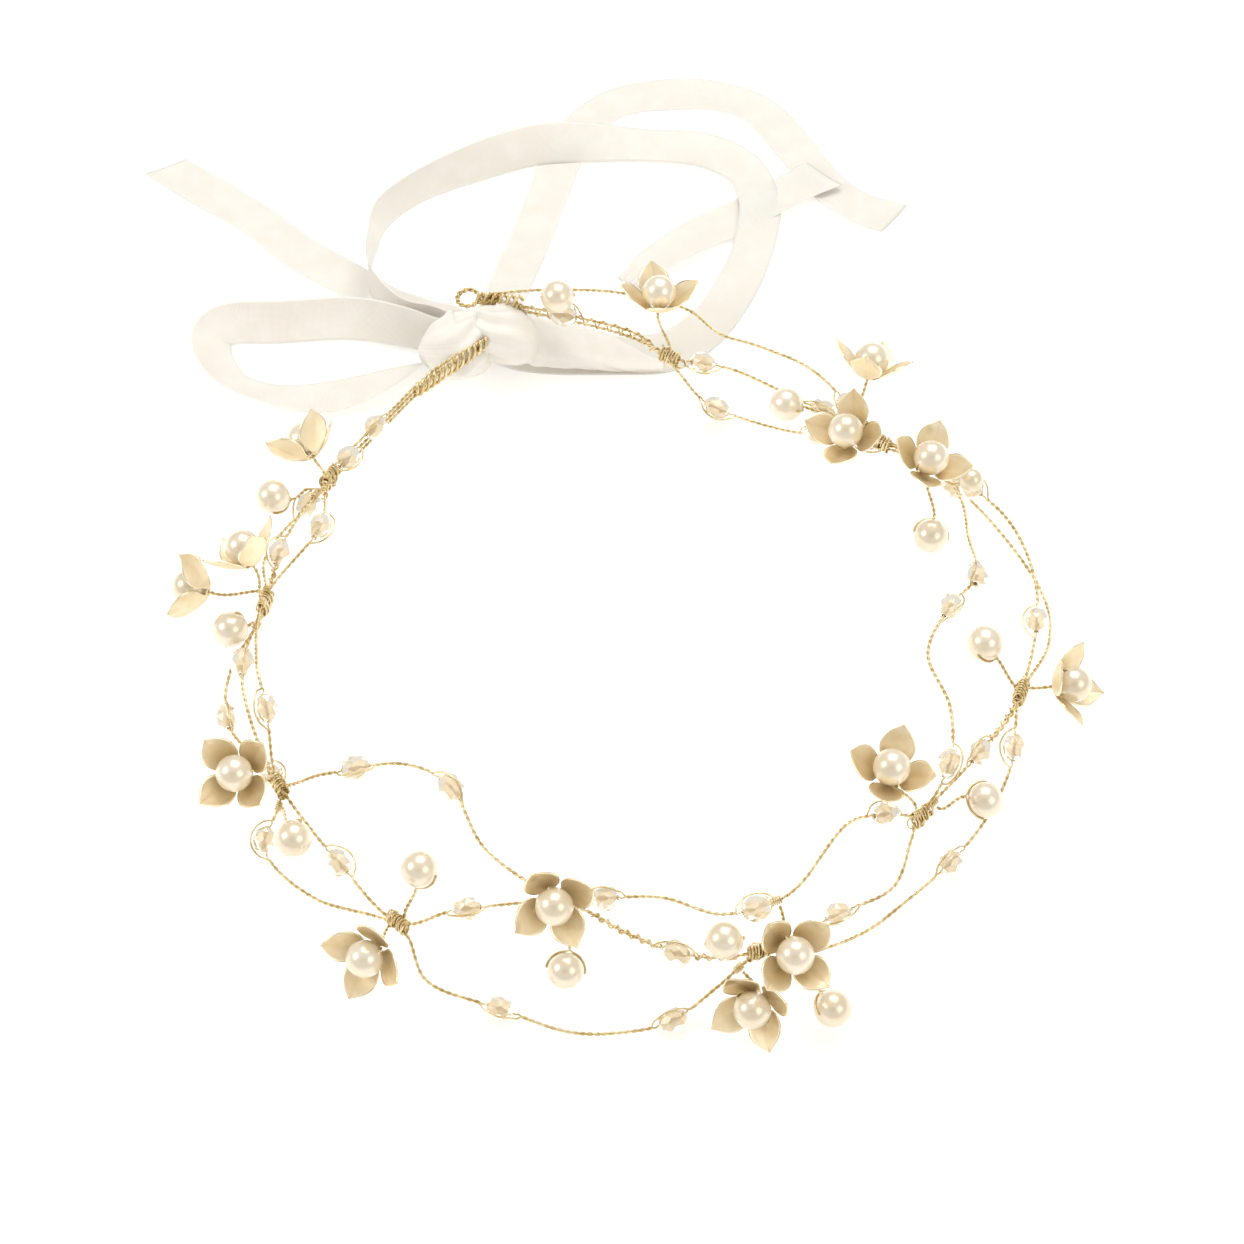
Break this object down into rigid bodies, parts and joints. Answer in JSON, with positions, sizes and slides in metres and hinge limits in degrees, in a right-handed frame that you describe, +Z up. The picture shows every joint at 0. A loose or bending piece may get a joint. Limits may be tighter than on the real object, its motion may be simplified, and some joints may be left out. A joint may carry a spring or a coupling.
{
  "type": "flower crown",
  "caption": "Bridal flower crown: twisted-wire ring with four-petal metal flowers, pearls on bendable stems, faceted beads and a sheer ribbon bow at the back.",
  "frame": {"origin": "middle of the wire ring, on the table that the crown lies on", "axes": "+Y from the middle of the ring towards the bow at the back, +Z up off the table, +X to the right seen from the front"},
  "size_m": [0.225, 0.2808, 0.0407],
  "materials": {
    "gold_wire": "fine champagne-gold craft wire, twisted in pairs, satin",
    "petal_gold": "champagne-gold stampings, brushed satin faces with a bright polished edge",
    "pearl": "ivory pearl with a soft nacre sheen, on a gold wire stem",
    "crystal": "clear champagne glass, facet cut",
    "ribbon": "ivory sheer organza with woven edges"
  },
  "bodies": {
    "ring": {"bead_front_left": "crystal", "bead_front_right": "crystal", "bead_inner_front": "crystal", "bead_inner_front_right": "crystal", "bead_inner_left": "crystal", "bead_inner_right": "crystal", "bead_low_back": "crystal", "bead_low_left": "crystal", "bead_low_right": "crystal", "end_eye_left": "gold_wire", "end_eye_right": "gold_wire", "ribbon_end_right": "ribbon", "ribbon_knot": "ribbon", "ribbon_loop_left": "ribbon", "ribbon_loop_right": "ribbon", "ribbon_tail_left": "ribbon", "ribbon_tail_right": "ribbon", "strand_lower": "gold_wire", "strand_middle": "gold_wire", "strand_upper": "gold_wire"},
    "flower_back": {"flower_back_pearl": "pearl", "flower_back_petals": "petal_gold"},
    "flower_back_left": {"flower_back_left_pearl": "pearl", "flower_back_left_petals": "petal_gold"},
    "flower_back_right": {"flower_back_right_pearl": "pearl", "flower_back_right_petals": "petal_gold"},
    "flower_far_left": {"flower_far_left_pearl": "pearl", "flower_far_left_petals": "petal_gold"},
    "flower_far_right": {"flower_far_right_pearl": "pearl", "flower_far_right_petals": "petal_gold"},
    "flower_front": {"flower_front_pearl": "pearl", "flower_front_petals": "petal_gold"},
    "flower_front_left": {"flower_front_left_pearl": "pearl", "flower_front_left_petals": "petal_gold"},
    "flower_front_low": {"flower_front_low_pearl": "pearl", "flower_front_low_petals": "petal_gold"},
    "flower_front_right": {"flower_front_right_pearl": "pearl", "flower_front_right_petals": "petal_gold"},
    "flower_inner_back": {"flower_inner_back_pearl": "pearl", "flower_inner_back_petals": "petal_gold"},
    "flower_inner_right": {"flower_inner_right_pearl": "pearl", "flower_inner_right_petals": "petal_gold"},
    "flower_left": {"flower_left_pearl": "pearl", "flower_left_petals": "petal_gold"},
    "flower_upper_left": {"flower_upper_left_pearl": "pearl", "flower_upper_left_petals": "petal_gold"},
    "flower_upper_right": {"flower_upper_right_pearl": "pearl", "flower_upper_right_petals": "petal_gold"},
    "pearl_back": {"pearl_back": "pearl"},
    "pearl_back_left": {"pearl_back_left": "pearl"},
    "pearl_back_right": {"pearl_back_right": "pearl"},
    "pearl_front": {"pearl_front": "pearl"},
    "pearl_front_left": {"pearl_front_left": "pearl"},
    "pearl_front_right": {"pearl_front_right": "pearl"},
    "pearl_inner_right": {"pearl_inner_right": "pearl"},
    "pearl_left": {"pearl_left": "pearl"},
    "pearl_left_low": {"pearl_left_low": "pearl"},
    "pearl_right": {"pearl_right": "pearl"},
    "pearl_right_low": {"pearl_right_low": "pearl"},
    "pearl_upper_right": {"pearl_upper_right": "pearl"}
  },
  "joints": [
    {"name": "bend_flower_back", "type": "hinge", "parent": "ring", "child": "flower_back", "pos_m": [0.00694, 0.07824, 0.01828], "axis": [-0.9961, 0.0884, 0], "range_deg": [-20, 15]},
    {"name": "bend_flower_back_left", "type": "hinge", "parent": "ring", "child": "flower_back_left", "pos_m": [-0.07207, 0.04274, 0.01832], "axis": [-0.5101, -0.8601, 0], "range_deg": [-20, 20]},
    {"name": "bend_flower_back_right", "type": "hinge", "parent": "ring", "child": "flower_back_right", "pos_m": [0.04923, 0.05768, 0.01911], "axis": [-0.7606, 0.6492, 0], "range_deg": [-6, 20]},
    {"name": "bend_flower_far_left", "type": "hinge", "parent": "ring", "child": "flower_far_left", "pos_m": [-0.08522, 0.01305, 0.01407], "axis": [-0.1514, -0.9885, 0], "range_deg": [-15, 20]},
    {"name": "bend_flower_far_right", "type": "hinge", "parent": "ring", "child": "flower_far_right", "pos_m": [0.08432, -0.01482, 0.01726], "axis": [0.1731, 0.9849, 0], "range_deg": [-20, 20]},
    {"name": "bend_flower_front", "type": "hinge", "parent": "ring", "child": "flower_front", "pos_m": [-0.01648, -0.07083, 0.02381], "axis": [0.974, -0.2266, 0], "range_deg": [-20, 20]},
    {"name": "bend_flower_front_left", "type": "hinge", "parent": "ring", "child": "flower_front_left", "pos_m": [-0.05308, -0.06934, 0.00958], "axis": [0.794, -0.6079, 0], "range_deg": [-20, 20]},
    {"name": "bend_flower_front_low", "type": "hinge", "parent": "ring", "child": "flower_front_low", "pos_m": [0.02089, -0.08056, 0.01037], "axis": [0.968, 0.2509, 0], "range_deg": [-9, 9]},
    {"name": "bend_flower_front_right", "type": "hinge", "parent": "ring", "child": "flower_front_right", "pos_m": [0.02773, -0.07444, 0.02778], "axis": [0.9371, 0.3491, 0], "range_deg": [-20, 9]},
    {"name": "bend_flower_inner_back", "type": "hinge", "parent": "ring", "child": "flower_inner_back", "pos_m": [0.05171, 0.05396, 0.02154], "axis": [-0.722, 0.6919, 0], "range_deg": [-20, 20]},
    {"name": "bend_flower_inner_right", "type": "hinge", "parent": "ring", "child": "flower_inner_right", "pos_m": [0.05748, -0.04826, 0.02309], "axis": [0.643, 0.7658, 0], "range_deg": [-20, 20]},
    {"name": "bend_flower_left", "type": "hinge", "parent": "ring", "child": "flower_left", "pos_m": [-0.07908, -0.03806, 0.01686], "axis": [0.4337, -0.9011, 0], "range_deg": [-20, 20]},
    {"name": "bend_flower_upper_left", "type": "hinge", "parent": "ring", "child": "flower_upper_left", "pos_m": [-0.08417, 0.00757, 0.01929], "axis": [-0.0895, -0.996, 0], "range_deg": [-20, 20]},
    {"name": "bend_flower_upper_right", "type": "hinge", "parent": "ring", "child": "flower_upper_right", "pos_m": [0.06401, 0.04703, 0.01988], "axis": [-0.5921, 0.8059, 0], "range_deg": [-20, 20]},
    {"name": "bend_pearl_back", "type": "hinge", "parent": "ring", "child": "pearl_back", "pos_m": [-0.0192, 0.09404, 0.022], "axis": [-0.9798, -0.2, 0], "range_deg": [-20, 20]},
    {"name": "bend_pearl_back_left", "type": "hinge", "parent": "ring", "child": "pearl_back_left", "pos_m": [-0.07513, 0.03936, 0.01624], "axis": [-0.464, -0.8858, 0], "range_deg": [-20, 20]},
    {"name": "bend_pearl_back_right", "type": "hinge", "parent": "ring", "child": "pearl_back_right", "pos_m": [0.04282, 0.06026, 0.01837], "axis": [-0.8151, 0.5793, 0], "range_deg": [-20, 20]},
    {"name": "bend_pearl_front", "type": "hinge", "parent": "ring", "child": "pearl_front", "pos_m": [-0.01437, -0.07162, 0.01957], "axis": [0.9804, -0.1968, 0], "range_deg": [-20, 20]},
    {"name": "bend_pearl_front_left", "type": "hinge", "parent": "ring", "child": "pearl_front_left", "pos_m": [-0.0497, -0.06869, 0.01257], "axis": [0.8102, -0.5862, 0], "range_deg": [-20, 20]},
    {"name": "bend_pearl_front_right", "type": "hinge", "parent": "ring", "child": "pearl_front_right", "pos_m": [0.01845, -0.07878, 0.01513], "axis": [0.9736, 0.2281, 0], "range_deg": [-20, 9]},
    {"name": "bend_pearl_inner_right", "type": "hinge", "parent": "ring", "child": "pearl_inner_right", "pos_m": [0.06235, -0.04628, 0.01958], "axis": [0.596, 0.803, 0], "range_deg": [-20, 20]},
    {"name": "bend_pearl_left", "type": "hinge", "parent": "ring", "child": "pearl_left", "pos_m": [-0.08629, 0.00428, 0.01403], "axis": [-0.0496, -0.9988, 0], "range_deg": [-12, 20]},
    {"name": "bend_pearl_left_low", "type": "hinge", "parent": "ring", "child": "pearl_left_low", "pos_m": [-0.07783, -0.04346, 0.01324], "axis": [0.4875, -0.8731, 0], "range_deg": [-20, 20]},
    {"name": "bend_pearl_right", "type": "hinge", "parent": "ring", "child": "pearl_right", "pos_m": [0.08174, -0.01545, 0.01788], "axis": [0.1857, 0.9826, 0], "range_deg": [-20, 20]},
    {"name": "bend_pearl_right_low", "type": "hinge", "parent": "ring", "child": "pearl_right_low", "pos_m": [0.02991, -0.07708, 0.01044], "axis": [0.9323, 0.3617, 0], "range_deg": [-20, 9]},
    {"name": "bend_pearl_upper_right", "type": "hinge", "parent": "ring", "child": "pearl_upper_right", "pos_m": [0.06646, 0.04519, 0.01515], "axis": [-0.5623, 0.827, 0], "range_deg": [-20, 20]}
  ]
}
